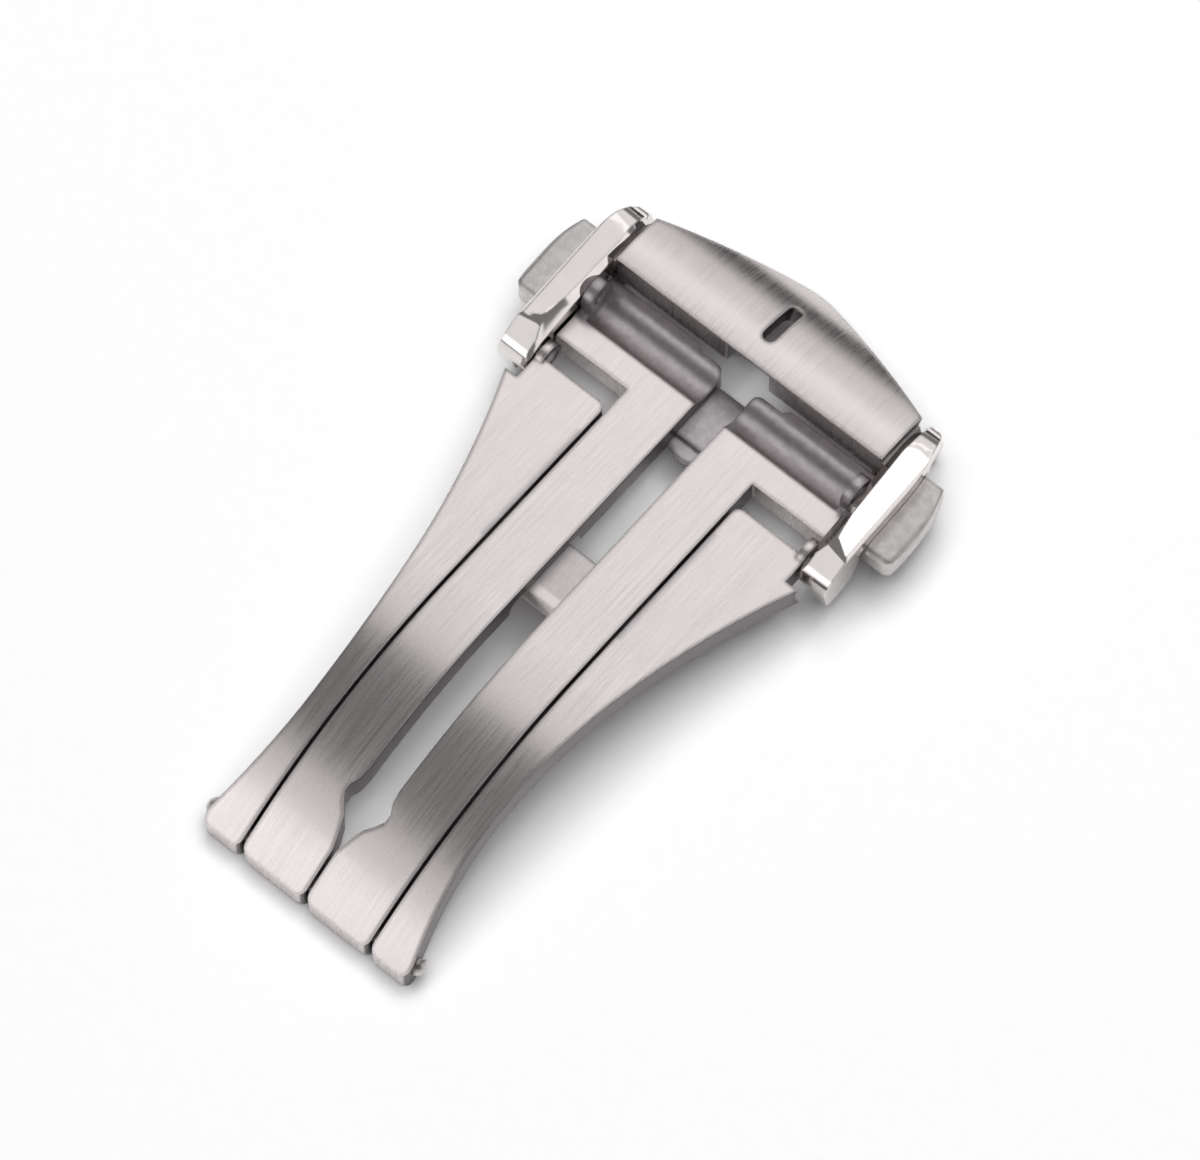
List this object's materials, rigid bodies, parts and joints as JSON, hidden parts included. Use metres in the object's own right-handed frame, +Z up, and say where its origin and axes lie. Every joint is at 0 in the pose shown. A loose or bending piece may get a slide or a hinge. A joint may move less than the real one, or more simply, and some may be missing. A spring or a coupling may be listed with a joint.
{
  "type": "deployant clasp",
  "caption": "Folding metal watch-strap clasp with nested forked blades, a latch head under a curved pointed cover, and sprung push buttons at its sides.",
  "frame": {"origin": "middle of the footprint, on the surface that the closed clasp lies on", "axes": "+X from the left cheek to the right cheek, +Y from the folding end to the cover, +Z up and away from the wrist"},
  "size_m": [0.0256, 0.0429, 0.0064],
  "materials": {
    "brushed_blade": "satin brushed along the blades",
    "brushed_roof": "satin brushed across the roof",
    "polished_cheek": "mirror polished with soft bevels",
    "blasted_button": "fine blasted",
    "turned_pin": "turned and bright",
    "spring_wire": "drawn wire"
  },
  "bodies": {
    "outer": {"outer_blade": "brushed_blade", "fold_pin": "turned_pin", "fold_pin_cap": "turned_pin"},
    "inner": {"inner_blade": "brushed_blade"},
    "cover": {"roof": "brushed_roof", "cheek_left": "polished_cheek", "cheek_right": "polished_cheek", "pivot_pin_left": "turned_pin", "pivot_pin_right": "turned_pin", "guide_pin_left_near": "turned_pin", "guide_pin_left_far": "turned_pin", "guide_pin_right_near": "turned_pin", "guide_pin_right_far": "turned_pin", "spring_left_near": "spring_wire", "spring_left_far": "spring_wire", "spring_right_near": "spring_wire", "spring_right_far": "spring_wire"},
    "button_l": {"button_left": "blasted_button", "hook_left": "turned_pin"},
    "button_r": {"button_right": "blasted_button", "hook_right": "turned_pin"}
  },
  "joints": [
    {"name": "fold", "type": "hinge", "parent": "outer", "child": "inner", "pos_m": [0, -0.02015, 0.00136], "axis": [1, 0, 0], "range_deg": [0, 165]},
    {"name": "cover_swing", "type": "hinge", "parent": "outer", "child": "cover", "pos_m": [0, 0.00942, 0.00357], "axis": [1, 0, 0], "range_deg": [0, 90]},
    {"name": "push_left", "type": "slide", "parent": "cover", "child": "button_l", "axis": [1, 0, 0], "range_m": [0, 0.0007], "stiffness_N_per_m": 2500, "springref_m": -0.0006, "deforming": ["spring_left_near", "spring_left_far"]},
    {"name": "push_right", "type": "slide", "parent": "cover", "child": "button_r", "axis": [-1, 0, 0], "range_m": [0, 0.0007], "stiffness_N_per_m": 2500, "springref_m": -0.0006, "deforming": ["spring_right_near", "spring_right_far"]}
  ]
}
